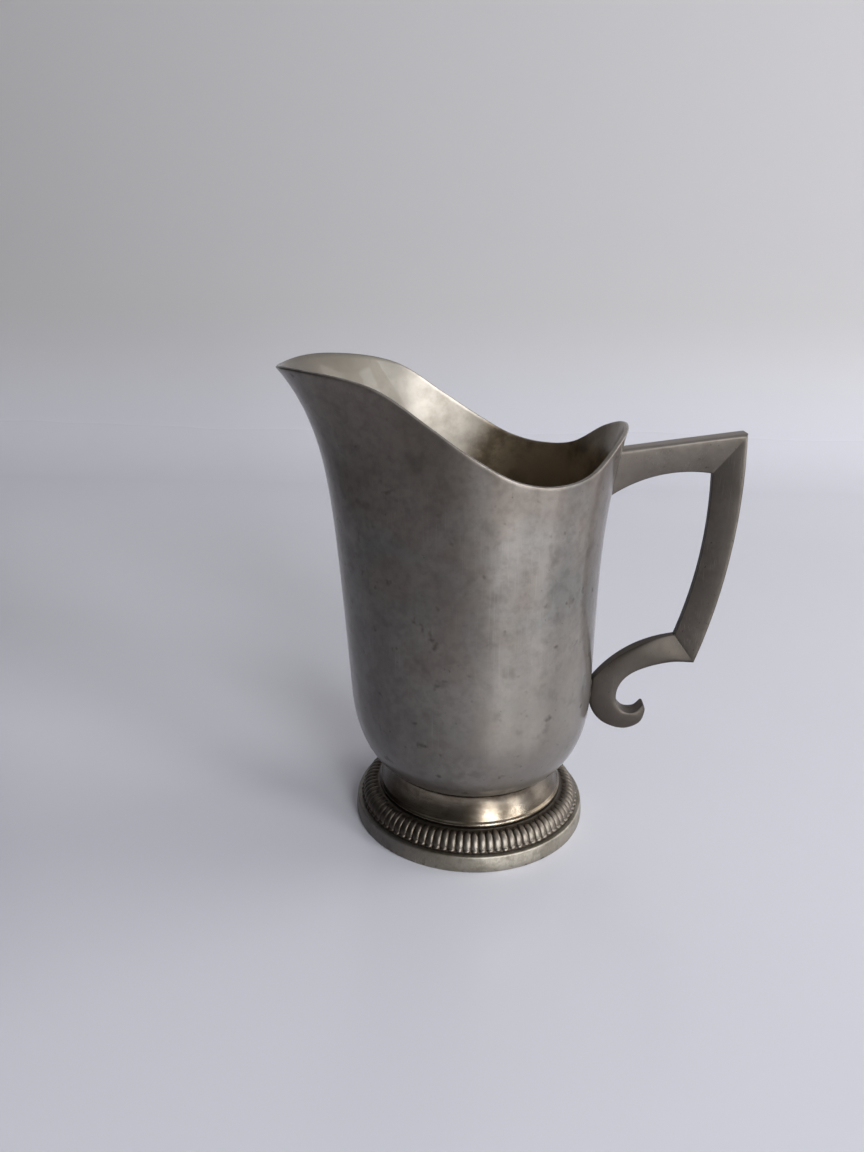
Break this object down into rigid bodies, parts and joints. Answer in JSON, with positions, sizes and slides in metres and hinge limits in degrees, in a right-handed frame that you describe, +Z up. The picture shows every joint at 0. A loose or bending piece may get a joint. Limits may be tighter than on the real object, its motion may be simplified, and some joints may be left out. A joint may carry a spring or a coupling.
{
  "type": "cream jug",
  "caption": "Footed pewter cream jug with a high pouring spout, an angular cast handle ending in a scroll curl, and a ribbed round foot.",
  "frame": {"origin": "centre of the foot's resting face, on the axis of the vessel", "axes": "+Z up along the vessel's axis, +X towards the handle, -X towards the spout, XZ the plane of symmetry"},
  "size_m": [0.1116, 0.063, 0.1201],
  "materials": {
    "aged_pewter": "satin spun pewter, clouded by age, with small dark pits",
    "cast_pewter": "warm grey satin casting, worn lighter along its edges",
    "foot_pewter": "polished pewter with a warm tint and dark patina in its grooves",
    "solder": "soft solder, dull bright"
  },
  "bodies": {
    "root": {"body_shell": "aged_pewter", "handle": "cast_pewter", "upper_handle_solder": "solder", "lower_handle_solder": "solder", "foot_neck": "foot_pewter", "neck_solder": "solder", "gadroon_ring": "foot_pewter", "ring_solder": "solder", "base_band": "foot_pewter", "band_solder": "solder"}
  },
  "joints": []
}
